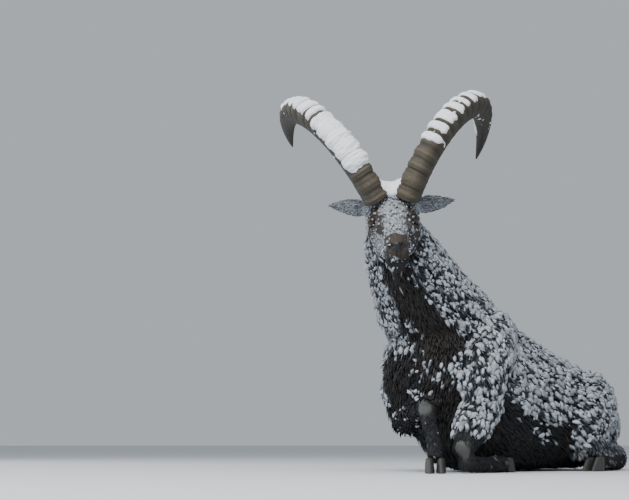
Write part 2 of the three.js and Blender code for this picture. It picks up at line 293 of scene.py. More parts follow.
# Flesh: every solid that the skin stands for, and the depth of its coat in metres
legNames = ("foreleg_left", "foreleg_right", "hindleg_left", "hindleg_right")
legChain = {"foreleg": ("shoulder", "forearm", "cannon", "pastern"),
            "hindleg": ("thigh", "shank", "cannon", "pastern")}
fleshDepth = {"head": 0.006, "neck": 0.024, "trunk": 0.022, "tail": 0.009, "beard": 0.005,
              "ear": 0.0022, "shoulder": 0.016, "thigh": 0.017, "forearm": 0.010, "shank": 0.010,
              "cannon": 0.0045, "pastern": 0.004}
fleshNodes = ["head", "neck", "trunk", "tail", "beard", "ear_left", "ear_right"]
for legName in legNames:
    fleshNodes += [legName + "_" + part for part in legChain[legName.split("_")[0]]]
depthOf = np.array([fleshDepth[n.split("_")[-1] if "leg" in n else n.split("_")[0]] for n in fleshNodes])


# Vertices of a solid as rows
def nodeVertices(name):
    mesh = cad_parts[name].data
    points = np.empty(len(mesh.vertices) * 3, np.float32)
    mesh.vertices.foreach_get("co", points)
    return points.reshape(-1, 3).astype(float)


# Direction that the coat lies in on each solid: along the leg towards the hoof, back along the body
def coatWays():
    ways = {"head": -noseWay - 0.25 * worldUp, "neck": np.array([0.05, 0.55, -0.85]),
            "trunk": np.array([0.02, 1.0, -0.62]), "tail": np.array([0, 0.25, -1.0]),
            "beard": np.array([0.05, -0.05, -1.0]), "ear_left": leftWay - 0.25 * noseWay,
            "ear_right": -leftWay - 0.25 * noseWay}
    for name in legNames:
        upper, *lower = [name + "_" + part for part in legChain[name.split("_")[0]]]
        chain = [upper] + lower + [name + "_toe_a"]
        stops = [nodeVertices(part).mean(0) for part in chain]
        for k, part in enumerate(lower):
            ways[part] = unit(stops[k + 2] - stops[k])
        ways[upper] = np.array([0.05, 0.25, -1.0]) if "fore" in name else np.array([0.0, 0.75, -0.8])
    return np.array([unit(ways[n]) for n in fleshNodes])


skinSetup = {"voxel": 0.0027, "smoothing": 18, "keptShare": 0.27, "floorGap": 0.0008, "weld": 0.00001,
             "coatSmoothing": 40, "headSmoothing": 12, "headStiffness": 0.75, "chestEdge": (-0.02, -0.14),
             "chestLie": (0.0, -0.3, -0.95)}


# Joins copies of some solids, closes the thin cuts between them with a voxel remesh and returns
# the points, faces and edges of the result
def remeshNodes(names, voxel):
    bpy.ops.object.select_all(action="DESELECT")
    copies = []
    for name in names:
        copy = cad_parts[name].copy()
        copy.data = copy.data.copy()
        copy.parent = None
        bpy.context.scene.collection.objects.link(copy)
        copies.append(copy)
        copy.select_set(True)
    bpy.context.view_layer.objects.active = copies[0]
    if len(copies) > 1:
        bpy.ops.object.join()
    body = bpy.context.view_layer.objects.active
    body.data.materials.clear()
    bpy.ops.object.mode_set(mode="EDIT")
    bpy.ops.mesh.select_all(action="SELECT")
    bpy.ops.mesh.remove_doubles(threshold=skinSetup["weld"])
    bpy.ops.object.mode_set(mode="OBJECT")
    remesh = body.modifiers.new("remesh", "REMESH")
    remesh.mode = "VOXEL"
    remesh.voxel_size = voxel
    bpy.ops.object.modifier_apply(modifier=remesh.name)
    mesh = body.data
    points = np.empty(len(mesh.vertices) * 3, np.float32)
    mesh.vertices.foreach_get("co", points)
    faces = np.empty(len(mesh.polygons) * 4, np.int32)
    mesh.loops.foreach_get("vertex_index", faces)
    edges = np.empty(len(mesh.edges) * 2, np.int32)
    mesh.edges.foreach_get("vertices", edges)
    bpy.data.objects.remove(body)
    return points.reshape(-1, 3).astype(float), faces.reshape(-1, 4), edges.reshape(-1, 2)


# Mean of each vertex's neighbours: sums over both ends of every edge, divided by their number
def neighbourMean(values, edges):
    count = len(values)
    total = np.stack([np.bincount(edges[:, 0], column[edges[:, 1]], count)
                      + np.bincount(edges[:, 1], column[edges[:, 0]], count)
                      for column in values.reshape(count, -1).T], 1)
    degree = np.bincount(edges.ravel(), minlength=count)
    return (total / np.maximum(degree, 1)[:, None]).reshape(values.shape)


# Vertex normals: the sum of the cross products of each quad's diagonals
def vertexNormals(points, faces):
    cross = np.cross(points[faces[:, 2]] - points[faces[:, 0]], points[faces[:, 3]] - points[faces[:, 1]])
    out = np.zeros_like(points)
    for k in range(3):
        for corner in range(4):
            out[:, k] += np.bincount(faces[:, corner], cross[:, k], len(points))
    return unit(out)


# Keeps only the largest connected shell: labels spread along the edges until they stop changing
def largestShell(points, faces, edges):
    label = np.arange(len(points))
    while True:
        low = np.minimum(label[edges[:, 0]], label[edges[:, 1]])
        new = label.copy()
        np.minimum.at(new, edges[:, 0], low)
        np.minimum.at(new, edges[:, 1], low)
        new = new[new]
        if (new == label).all():
            break
        label = new
    values, counts = np.unique(label, return_counts=True)
    keep = label == values[counts.argmax()]
    index = np.cumsum(keep) - 1
    return points[keep], index[faces[keep[faces].all(1)]], index[edges[keep[edges].all(1)]]


skinPoints, skinFaces, skinEdges = largestShell(*remeshNodes(fleshNodes, skinSetup["voxel"]))
print("skin remeshed", len(skinPoints))


# The solid whose surface is nearest to each point, as its place in the list of flesh solids
def nearestSolid(points):
    corners, triangles, owners = [], [], []
    for k, name in enumerate(fleshNodes):
        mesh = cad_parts[name].data
        triangles += [[len(corners) + i for i in polygon.vertices] for polygon in mesh.polygons]
        corners += [vertex.co.copy() for vertex in mesh.vertices]
        owners += [k] * len(mesh.polygons)
    tree = BVHTree.FromPolygons(corners, triangles)
    return np.array(owners)[np.array([tree.find_nearest(p)[2] for p in points])]


# Group, coat depth and lie of each vertex; depth and lie are smoothed over the skin
group = nearestSolid(skinPoints)
wayOf = coatWays()
depth = depthOf[group]
lie = wayOf[group]
overChest = smoothStep(*skinSetup["chestEdge"], skinPoints[:, 1]) * (group == fleshNodes.index("trunk"))
lie = mixRows(lie, np.array(skinSetup["chestLie"]), overChest)
for step in range(skinSetup["coatSmoothing"]):
    depth = neighbourMean(depth, skinEdges)
    lie = neighbourMean(lie, skinEdges)
headNumbers = [fleshNodes.index(n) for n in ("head", "ear_left", "ear_right", "beard")]
headShare = np.isin(group, headNumbers).astype(float)
for step in range(skinSetup["headSmoothing"]):
    headShare = neighbourMean(headShare, skinEdges)
outline = skinPoints.copy()
for step in range(skinSetup["smoothing"]):
    smoother = neighbourMean(outline, skinEdges)
    outline += (smoother - outline) * (1 - skinSetup["headStiffness"] * headShare)[:, None]
normals = vertexNormals(outline, skinFaces)
lie = unit(lie - normals * (lie * normals).sum(1, keepdims=True))
skin = outline - normals * depth[:, None]
skin[:, 2] = np.maximum(skin[:, 2], skinSetup["floorGap"])
print("skin shaped")

# Face: soft bumps and hollows, each a Gaussian about a point of the head, mirrored left and right.
# Each is (ahead, to the side, above, spread, push outward).
faceForms = {
    "browRidge": (0.000, 0.066, 0.026, 0.014, 0.008),
    "lowerLid": (0.010, 0.070, -0.016, 0.010, 0.004),
    "cheekBone": (0.042, 0.054, -0.022, 0.016, 0.004),
    "templeHollow": (-0.045, 0.070, 0.022, 0.018, -0.004),
    "cheekHollow": (0.085, 0.048, -0.034, 0.024, -0.008),
    "bridgeSide": (0.090, 0.036, 0.014, 0.012, -0.003),
    "jawMuscle": (-0.020, 0.066, -0.062, 0.028, 0.005),
    "chinSide": (0.152, 0.017, -0.074, 0.014, 0.003),
}
mouthLine = {"start": 0.092, "end": 0.196, "height": -0.046, "rise": 0.06, "width": 0.0027,
             "depth": 0.0048}
lipCleft = {"width": 0.0022, "depth": 0.003, "ahead": (0.176, 0.19), "foot": (-0.046, -0.038),
            "top": (-0.012, -0.020)}


# The forms, then the mouth as a Gaussian groove along a rising line, then the cleft under the nose
def shapeFace(points, directions):
    local = toHead(points)
    side = np.abs(local[:, 1])
    push = np.zeros(len(points))
    for ahead, across, above, spread, amount in faceForms.values():
        farSquared = (local[:, 0] - ahead) ** 2 + (side - across) ** 2 + (local[:, 2] - above) ** 2
        push += amount * np.exp(-farSquared / (2 * spread ** 2))
    m, c = mouthLine, lipCleft
    level = m["height"] - m["rise"] * (m["end"] - local[:, 0]) * 0.6
    along = smoothStep(m["start"], m["start"] + 0.02, local[:, 0])
    push -= m["depth"] * along * np.exp(-((local[:, 2] - level) / m["width"]) ** 2)
    cleft = np.exp(-(side / c["width"]) ** 2) * smoothStep(*c["ahead"], local[:, 0])
    push -= c["depth"] * cleft * smoothStep(*c["foot"], local[:, 2]) * smoothStep(*c["top"], local[:, 2])
    return points + directions * (push * smoothStep(0.3, 0.9, headShare))[:, None]


# Nose: the same kind of forms on the blunt front of the muzzle, pushed along the nose. Each is
# (to the side, above, spread sideways, spread upward, push), and only counts well forward.
noseForms = {
    "padBulge": (0.000, 0.002, 0.0150, 0.0080, 0.0040),
    "padWing": (0.0225, 0.003, 0.0040, 0.0060, 0.0040),
    "nostril": (0.0145, -0.004, 0.0040, 0.0046, -0.0130),
    "nostrilSlit": (0.0200, -0.011, 0.0027, 0.0034, -0.0080),
    "septum": (0.000, -0.014, 0.0016, 0.0100, -0.0030),
    "upperLip": (0.0190, -0.034, 0.0100, 0.0080, 0.0055),
    "chinFront": (0.000, -0.064, 0.0140, 0.0090, 0.0040),
}


def noseShare(local, form):
    across, above, wide, tall = noseForms[form][:4]
    far = ((np.abs(local[:, 1]) - across) / wide) ** 2 + ((local[:, 2] - above) / tall) ** 2
    return np.exp(-0.5 * far) * smoothStep(0.156, 0.168, local[:, 0])


def shapeNose(points):
    local = toHead(points)
    push = sum(noseForms[form][4] * noseShare(local, form) for form in noseForms)
    return points + noseWay * push[:, None]


# Lids: near each eye the skin follows a ball a little larger than the eye, and inside an almond
# opening it drops behind the eye's surface
eyeSetup = {"ahead": 0.004, "above": 0.003, "outset": 0.005, "sunk": 0.0034, "forward": 0.32,
            "upward": 0.10, "tilt": 0.20, "openLength": 0.0112, "openHeight": 0.0064, "lid": 0.0006,
            "reach": 0.027, "behind": 0.0045, "rim": 0.0016, "backLimit": -0.004}


# Frame of the eye on one side: its centre, outward axis, level direction and upright direction
def eyeFrame(side):
    e = eyeSetup
    apart = headSetup["eyeSpacing"] / 2 + e["outset"] - e["sunk"] - headSetup["eyeRadius"]
    centre = headPoint((e["ahead"], side * apart, e["above"]))
    axis = unit(leftWay * side + e["forward"] * noseWay + e["upward"] * browWay)
    level = unit(noseWay - axis * (noseWay @ axis) - e["tilt"] * browWay)
    return centre, axis, level, unit(np.cross(axis, level))


def shapeLids(points):
    e = eyeSetup
    for side in (1, -1):
        centre, axis, level, upright = eyeFrame(side)
        offset = points - centre
        outward = offset @ axis
        a = offset @ level
        b = offset @ upright
        flat = np.hypot(a, b)
        near = (flat < e["reach"]) & (outward > e["backLimit"])
        ball = np.sqrt(np.maximum((headSetup["eyeRadius"] + e["lid"]) ** 2 - flat ** 2, 0))
        almond = np.hypot(a / e["openLength"], b / e["openHeight"])
        rim = ball + e["rim"] * np.exp(-((almond - 1.25) / 0.22) ** 2)
        wanted = np.where(almond < 1.0, ball - e["behind"], rim)
        share = smoothStep(e["reach"], e["reach"] * 0.62, flat) * near * (ball > 0)
        share = np.maximum(share, near * (almond < 1.02))
        points = points + axis * ((wanted - outward) * share)[:, None]
    return points


skin = shapeFace(skin, normals)
skin = shapeNose(skin)
skin = shapeLids(skin)
normals = vertexNormals(skin, skinFaces)
print("face shaped")

# Where the snow lies and where the coat is bare, as shares 0..1 at points of the coat. Pairs are the
# places where a share starts and where it is full, in metres of height, depth or the head's frame.
imageRight = np.array([0.719, 0.695, 0.0])
imageFront = np.array([0.695, -0.719, 0.0])
snowSetup = {"flankLow": 0.205, "flankSlope": 1.4, "flankMiddle": -0.04, "flankRange": (0.045, 0.32),
             "noise": 0.10, "throatHeight": (0.56, 0.34), "throatEnd": (0.70, 0.62),
             "brisketHeight": (0.36, 0.33), "brisketDepth": (-0.02, -0.10), "brisketSide": (0.45, 0.2),
             "fringeFoot": (0.225, 0.25), "fringeTop": (0.345, 0.32), "fringeDepth": (-0.10, -0.14),
             "fringeSide": (-0.80, -0.50), "armTop": (0.19, -0.13, 0.36), "armFoot": (0.19, -0.25, 0.13),
             "armReach": 0.085, "elbow": (0.19, 0.27), "knee": (0.095, 0.12), "haunch": (0.01, 0.06)}


# Bare strip down the throat and over the brisket: a band of directions, wider and further to the
# animal's left towards its foot
def throatShare(points, directions):
    s = snowSetup
    level = unit(directions * np.array([1.0, 1.0, 0.0]))
    sideways = level @ imageRight
    low = smoothStep(*s["throatEnd"], points[:, 2]) * (level @ imageFront > 0)
    down = smoothStep(*s["throatHeight"], points[:, 2])
    middle = -0.34 + 0.30 * down
    half = 0.24 + 0.28 * down
    edge = np.abs(sideways - middle) + 0.25 * (valueNoise(points, 0.03, 6.0) - 0.5)
    return smoothStep(half + 0.10, half - 0.06, edge) * low


# True where a point's group has one of the words in its name
def inGroups(groups, *words):
    hit = np.array([any(w in n for w in words) for n in fleshNodes])
    return hit[groups]


# Snow on the coat: more on faces that look up, less in noise patches, and none below the flank's
# edge, on the throat, the brisket and the right foreleg
def snowShare(points, directions, groups):
    s = snowSetup
    y, z = points.T[1:]
    upness = directions[:, 2]
    patch = 0.6 * valueNoise(points, 0.08) + 0.4 * valueNoise(points, 0.035, 2.5) - 0.5
    share = 0.80 + 0.28 * upness + 0.65 * patch
    lowEdge = np.clip(s["flankLow"] - s["flankSlope"] * (y - s["flankMiddle"]), *s["flankRange"])
    flank = smoothStep(lowEdge - 0.05, lowEdge + 0.11, z + 0.5 * s["noise"] * patch)
    share = np.where(inGroups(groups, "trunk"), share * flank * smoothStep(-0.55, 0.0, upness), share)
    throat = throatShare(points, directions)
    toRight = directions @ imageRight
    brisket = smoothStep(*s["brisketHeight"], z) * smoothStep(*s["brisketDepth"], y)
    brisket = brisket * smoothStep(*s["brisketSide"], toRight)
    neckOrTrunk = inGroups(groups, "trunk", "neck")
    share = np.where(neckOrTrunk, share * (1 - throat) * (1 - brisket), share)
    fringe = smoothStep(*s["fringeFoot"], z) * smoothStep(*s["fringeTop"], z)
    fringe *= smoothStep(*s["fringeDepth"], y)
    fringe *= smoothStep(*s["fringeSide"], toRight)
    share = np.where(inGroups(groups, "trunk"), np.maximum(share, fringe * (0.34 + 1.4 * patch)), share)
    top, foot = np.array(s["armTop"]), np.array(s["armFoot"])
    down = np.clip((points - top) @ (foot - top) / ((foot - top) @ (foot - top)), 0, 1)
    toArm = np.linalg.norm(points - top - down[:, None] * (foot - top), axis=1)
    onArm = smoothStep(s["armReach"], s["armReach"] - 0.025, toArm) * (0.85 + 0.5 * patch)
    share = np.where(inGroups(groups, "trunk", "foreleg_left_shoulder"), np.maximum(share, onArm), share)
    limb = inGroups(groups, "cannon", "pastern")
    share = np.where(limb, 0.10 + 0.2 * patch, share)
    share = np.where(inGroups(groups, "shank"), 0.95 * share, share)
    elbow = np.where(inGroups(groups, "foreleg_right_shoulder"), smoothStep(*s["elbow"], z), 1.0)
    share = share * elbow
    share = np.where(inGroups(groups, "foreleg_right_forearm"), 0.08 + 0.2 * patch, share)
    aboveKnee = (share + 0.1) * smoothStep(*s["knee"], z)
    share = np.where(inGroups(groups, "foreleg_left_forearm"), aboveKnee, share)
    share = np.where(inGroups(groups, "thigh"), share * smoothStep(*s["haunch"], z), share)
    ahead, aside, above = toHead(points).T
    fine = valueNoise(points, 0.016, 3.0) - 0.5
    bridge = np.exp(-(aside / 0.033) ** 4) * smoothStep(0.02, 0.05, ahead) * smoothStep(0.140, 0.128, ahead)
    bridge *= smoothStep(-0.005, 0.012, above)
    forehead = np.exp(-(aside / 0.050) ** 4) * smoothStep(0.05, 0.02, ahead)
    forehead *= smoothStep(0.02, 0.045, above)
    jowl = smoothStep(0.02, -0.03, aside) * smoothStep(0.0, -0.035, above) * smoothStep(0.135, 0.10, ahead)
    behind = smoothStep(-0.03, -0.07, ahead) * 0.7
    face = 0.36 + 0.60 * np.maximum(bridge, 0.9 * forehead) + 0.60 * np.maximum(jowl, behind) + 0.9 * fine
    socket = np.exp(-(((ahead - 0.004) / 0.030) ** 2 + ((np.abs(aside) - 0.066) / 0.020) ** 2))
    overNose = np.exp(-(((ahead - 0.156) / 0.021) ** 2 + ((aside - 0.004) / 0.021) ** 2) ** 2)
    nosePad = np.exp(-((aside / 0.028) ** 2 + ((above + 0.008) / 0.018) ** 2) ** 2)
    nosePad = nosePad * smoothStep(0.150, 0.165, ahead)
    chin = smoothStep(-0.040, -0.050, above) * smoothStep(0.09, 0.12, ahead)
    face *= (1 - 0.9 * socket) * (1 - overNose) * (1 - nosePad) * (1 - 0.8 * chin)
    share = np.where(inGroups(groups, "head"), face, share)
    share = np.where(inGroups(groups, "ear_"), 0.88 + 0.5 * patch, share)
    share = np.where(inGroups(groups, "beard"), 0.35, share)
    share = np.where(inGroups(groups, "tail"), 0.3 + 0.4 * upness, share)
    return np.clip(share, 0, 1)


# Colours in linear light, with the snow a bluish grey that paints the shade on it, and the worn knee pads
# as (x, y, z, radius)
# painted shade: the snow colour is snow as it looks in shade, not its own white
coatColours = {"dark": (0.008, 0.010, 0.014), "brown": (0.030, 0.026, 0.0245),
               "warm": (0.058, 0.043, 0.029), "snow": (0.50, 0.545, 0.60),
               "frost": (0.23, 0.26, 0.30), "pad": (0.0055, 0.0075, 0.011),
               "callus": (0.075, 0.085, 0.080), "face": (0.030, 0.022, 0.017)}
palette = {k: np.array(v) for k, v in coatColours.items()}
kneeSpots = {"right": (0.046, -0.252, 0.192, 0.036), "left": (0.184, -0.256, 0.066, 0.044)}


# Bare knee pads: a ball about each knee, full within 0.6 of its radius
def callusShare(points):
    share = np.zeros(len(points))
    for *middle, radius in kneeSpots.values():
        far = np.linalg.norm(points - np.array(middle), axis=1)
        share = np.maximum(share, smoothStep(radius, radius * 0.6, far))
    return share


# Hair colour under the snow: brown mottled with dark, warm on the face, darker from 0.3 m height down to
# the floor and darkest on the lower legs
def hairColour(points, directions, groups):
    z = points[:, 2]
    tone = 0.5 + 0.8 * (valueNoise(points, 0.05, 7.0) - 0.5) + 0.6 * (valueNoise(points, 0.012, 2.0) - 0.5)
    throat = throatShare(points, directions) * inGroups(groups, "neck", "trunk")
    tone += 0.7 * throat - 0.9 * smoothStep(0.30, 0.10, z) * (1 - 0.6 * throat)
    tone -= 0.35 * inGroups(groups, "cannon", "pastern")
    colour = mixRows(palette["dark"], palette["brown"], np.clip(tone, 0, 1.3))
    colour = mixRows(colour, palette["frost"], 0.38 * inGroups(groups, "ear_"))
    ahead, aside, above = toHead(points).T
    isHead = inGroups(groups, "head")
    colour = mixRows(colour, palette["face"], isHead * smoothStep(-0.08, -0.03, above) * 0.8)
    overNose = np.exp(-(((ahead - 0.150) / 0.030) ** 2 + (aside / 0.032) ** 2))
    overNose *= smoothStep(-0.05, -0.02, above)
    ringed = np.exp(-(((ahead - 0.002) / 0.038) ** 2 + ((np.abs(aside) - 0.062) / 0.022) ** 2
                      + ((above - 0.01) / 0.03) ** 2))
    warmth = np.clip(1.1 * overNose + 0.8 * ringed, 0, 1) * isHead
    chin = smoothStep(-0.040, -0.052, above) * smoothStep(0.10, 0.13, ahead) * isHead
    return mixRows(mixRows(colour, palette["warm"], warmth * 0.9), palette["pad"], 0.8 * chin)


# Markings of the skin: hair colour, frost on the face, the nose pad with its nostril hollows darkened as
# painted shade, the knee pads
skinSnow = snowShare(skin, normals, group)
skinColour = hairColour(skin, normals, group)
padSetup = {"middle": -0.007, "halfHeight": 0.0145, "halfWidth": 0.0235, "widening": 0.22,
            "start": (0.170, 0.176), "edge": (1.12, 0.88), "noise": 0.25}
padPlace = toHead(skin)
padHigh = (padPlace[:, 2] - padSetup["middle"]) / padSetup["halfHeight"]
padEdge = np.hypot(padPlace[:, 1] / (padSetup["halfWidth"] * (1 + padSetup["widening"] * padHigh)), padHigh)
padEdge = padEdge + padSetup["noise"] * (valueNoise(skin, 0.005) - 0.5)
padShare = smoothStep(*padSetup["start"], padPlace[:, 0]) * smoothStep(*padSetup["edge"], padEdge)
padShare = padShare * (headShare > 0.5)
callus = callusShare(skin)
dusting = smoothStep(0.42, 0.72, skinSnow + 0.5 * (valueNoise(skin, 0.006, 9.0) - 0.5)) * (headShare > 0.5)
skinColour = mixRows(skinColour, palette["snow"] * 0.85, 0.9 * dusting)
skinColour = mixRows(skinColour, palette["pad"], padShare)
# painted shade: the nostril hollows darkened
nostrilHollowShade = np.maximum(noseShare(padPlace, "nostril"), noseShare(padPlace, "nostrilSlit"))
skinColour = skinColour * (1 - 0.85 * smoothStep(0.35, 0.75, nostrilHollowShade))[:, None]
skinColour = mixRows(skinColour, palette["callus"], callus)


# Skin: short dark fur as fine bump under the coat, with the nose pad smoother and moist
def skinFinish():
    hide = Finish("shortFur", Roughness=0.8)
    base = hide.read("marking", "Color")
    grain = hide.noise(260, 2.0)
    hide.put("Base Color", hide.mix(grain * 0.5, base, (0.02, 0.016, 0.014, 1)))
    hide.put("Roughness", 0.85 - hide.read("bareSkin") * 0.45)
    hide.bump(grain + hide.noise(90, 2.0) * 0.6, 0.5, 0.0016)
    return hide.material


# The skin's mesh: full detail on the head, thinned elsewhere by a weight in ten levels
def buildSkin():
    piece = makeMesh("ibexSkin", skin, skinFaces)
    setAttribute(piece, "marking", skinColour)
    setAttribute(piece, "bareSkin", np.maximum(padShare, 0.3 * callus))
    keep = piece.vertex_groups.new(name="body")
    bodyShare = np.clip(1 - 1.2 * headShare, 0.0, 1)
    for level in np.linspace(0.1, 1, 10):
        rows = np.nonzero(np.abs(bodyShare - level) < 0.05)[0]
        keep.add(rows.tolist(), float(level), "REPLACE")
    thin = piece.modifiers.new("thin", "DECIMATE")
    thin.ratio = skinSetup["keptShare"]
    thin.vertex_group = "body"
    bpy.context.view_layer.objects.active = piece
    bpy.ops.object.modifier_apply(modifier=thin.name)
    piece.vertex_groups.clear()
    piece.data.polygons.foreach_set("use_smooth", np.full(len(piece.data.polygons), True))
    piece.data.materials.append(skinFinish())
    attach(piece, "root")
    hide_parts(*fleshNodes)
    print("skin built", len(piece.data.polygons))


buildSkin()

# Chart for the coat's bake map: each group is unrolled round its own axis into a strip, as wide as
# its share of the skin's area
groupNumbers = range(len(fleshNodes))
groupCentre = np.array([skin[group == k].mean(0) for k in groupNumbers])
chartSide = unit(np.cross(wayOf, np.array([0.31, 0.17, 0.93])))
chartThird = np.cross(wayOf, chartSide)
cornerA, cornerB, cornerC, cornerD = (skin[skinFaces[:, k]] for k in range(4))
quadArea = 0.5 * np.linalg.norm(np.cross(cornerC - cornerA, cornerD - cornerB), axis=1)
groupArea = np.bincount(group[skinFaces[:, 0]], quadArea, len(fleshNodes))
stripEdge = np.concatenate([[0], np.cumsum(groupArea / groupArea.sum())])
heights = ((skin - groupCentre[group]) * wayOf[group]).sum(1)
heightRange = np.array([(heights[group == k].min(), heights[group == k].max()) for k in groupNumbers])


# Chart place of points: across the strip by the angle round the group's axis, up it by the height
def chartPlace(points, groups):
    offset = points - groupCentre[groups]
    third, sideways = ((offset * axis[groups]).sum(1) for axis in (chartThird, chartSide))
    turn = np.arctan2(third, sideways) / (2 * math.pi)
    low, high = heightRange[groups].T
    rise = ((offset * wayOf[groups]).sum(1) - low) / (high - low)
    u = stripEdge[groups] + (turn + 0.5) * (stripEdge[groups + 1] - stripEdge[groups])
    return np.clip(np.stack([u, rise], 1), 0.002, 0.998)


# Random places on the skin, with the chance of each quad set by its area and a weight
def scatter(number, weight):
    chance = quadArea * weight[skinFaces].mean(1)
    picked = rng.choice(len(skinFaces), number, p=chance / chance.sum())
    u, v = rng.random((2, number, 1))
    corner = skinFaces[picked]
    blend = [(1 - u) * (1 - v), u * (1 - v), u * v, (1 - u) * v]
    point = sum(skin[corner[:, k]] * blend[k] for k in range(4))
    normal = unit(sum(normals[corner[:, k]] * blend[k] for k in range(4)))
    way = sum(lie[corner[:, k]] * blend[k] for k in range(4))
    way = unit(way - normal * (way * normal).sum(1, keepdims=True))
    return point, normal, way, group[corner[:, 0]], depth[corner[:, 0]]


# Coat: colour from each tuft, dull, with a little streak of noise along the hairs
def coatFinish():
    fur = Finish("winterCoat", Roughness=0.72)
    base = fur.read("tuftColour", "Color")
    streak = fur.noise(420, 2.0)
    fur.put("Base Color", fur.mix(streak * 0.28, base, (0.03, 0.03, 0.035, 1)))
    fur.bump(fur.noise(260, 3.0), 0.9, 0.004)
    return fur.material


winterCoat = coatFinish()
pieceTriangles = 190000


# Gives a coat piece its bake map: one chart place for each corner's vertex
def addBakeMap(piece, places, faces):
    layer = piece.data.uv_layers.new(name="OFBake")
    layer.data.foreach_set("uv", places.reshape(-1, 2)[faces.ravel()].astype(np.float32).ravel())


# Tufts: a three-sided blade from two rings and a tip. The ring corners are the two edges and the
# ridge; the blade leaves the skin at its lift angle and bends down along the lie to its tip.
tuftFaces = np.array([(0, 1, 4), (0, 4, 3), (1, 2, 5), (1, 5, 4), (2, 0, 3), (2, 3, 5),
                      (3, 4, 6), (4, 5, 6), (5, 3, 6), (0, 2, 1)])
tuftSetup = {"sunk": 0.0015, "endLift": 0.35, "middleShift": 0.35, "rootWidth": 0.75, "ridge": 0.42,
             "tipTone": 0.65, "patch": 0.0015, "floorGap": 0.0005}
tuftPatch = tuftSetup["patch"] * np.array([(-1, -1), (0, -1), (1, -1), (-1, 0), (0, 0), (1, 0), (0, 1)])


def tuftMesh(name, root, normal, way, length, width, lift, tipShift, colours, chart):
    s = tuftSetup
    across = np.cross(normal, way)
    base = root - normal * s["sunk"]
    startWay = way * np.cos(lift)[:, None] + normal * np.sin(lift)[:, None]
    middle = base + startWay * (length * 0.5)[:, None]
    endLift = lift * s["endLift"]
    endWay = way * np.cos(endLift)[:, None] + normal * np.sin(endLift)[:, None]
    tip = middle + endWay * (length * 0.5)[:, None] + tipShift
    middle = middle + tipShift * s["middleShift"]
    rings = []
    for centre, share in ((base, s["rootWidth"]), (middle, 1.0)):
        half = across * (width * 0.5 * share)[:, None]
        rings += [centre - half, centre + half, centre + normal * (width * s["ridge"] * share)[:, None]]
    vertices = np.stack(rings + [tip], 1)
    vertices[:, :, 2] = np.maximum(vertices[:, :, 2], s["floorGap"])
    faces = (tuftFaces[None] + 7 * np.arange(len(root))[:, None, None]).reshape(-1, 3)
    piece = makeMesh(name, vertices.reshape(-1, 3), faces)
    # the root ring carries the painted shade of the coat's depth
    shadedRootColour, tipColour = colours
    middleColour = mixRows(shadedRootColour, tipColour, np.full(len(root), s["tipTone"]))
    vertexColour = np.stack([shadedRootColour] * 3 + [middleColour] * 3 + [tipColour], 1)
    setAttribute(piece, "tuftColour", vertexColour.reshape(-1, 3))
    addBakeMap(piece, chart[:, None] + tuftPatch, faces)
    piece.data.materials.append(winterCoat)
    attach(piece, "root")


# Clumps: seeds on the skin draw the tufts' tips together, so that the coat parts into locks.
# Each region has its clump size, tuft spacing, and the tuft's length over the coat's depth.
coatRegions = {
    "trunkCoat": {"groups": ("trunk",), "clump": 0.0116, "spacing": 0.0061, "length": 2.0, "least": 0.02,
                  "width": 0.0058, "lift": 34, "pull": 0.6},
    "neckCoat": {"groups": ("neck",), "clump": 0.0084, "spacing": 0.0052, "length": 1.8, "least": 0.02,
                 "width": 0.0046, "lift": 30, "pull": 0.6},
    "limbCoat": {"groups": ("shoulder", "thigh", "forearm", "tail"), "clump": 0.0104, "spacing": 0.0053,
                 "length": 2.0, "least": 0.018, "width": 0.0046, "lift": 26, "pull": 0.55},
    "shinCoat": {"groups": ("shank", "cannon", "pastern"), "clump": 0.012, "spacing": 0.0042,
                 "length": 2.2, "least": 0.015, "width": 0.0027, "lift": 22, "pull": 0.45},
    "faceCoat": {"groups": ("head",), "clump": 0.0050, "spacing": 0.0022, "length": 1.6, "least": 0.0090,
                 "width": 0.0019, "lift": 11, "pull": 0.3},
    "earCoat": {"groups": ("ear_",), "clump": 0.0060, "spacing": 0.0027, "length": 2.0, "least": 0.016,
                "width": 0.0021, "lift": 15, "pull": 0.3},
    "beardCoat": {"groups": ("beard",), "clump": 0.014, "spacing": 0.0021, "length": 2.4, "least": 0.030,
                  "width": 0.0038, "lift": 16, "pull": 0.45},
}
clumpRecords = []


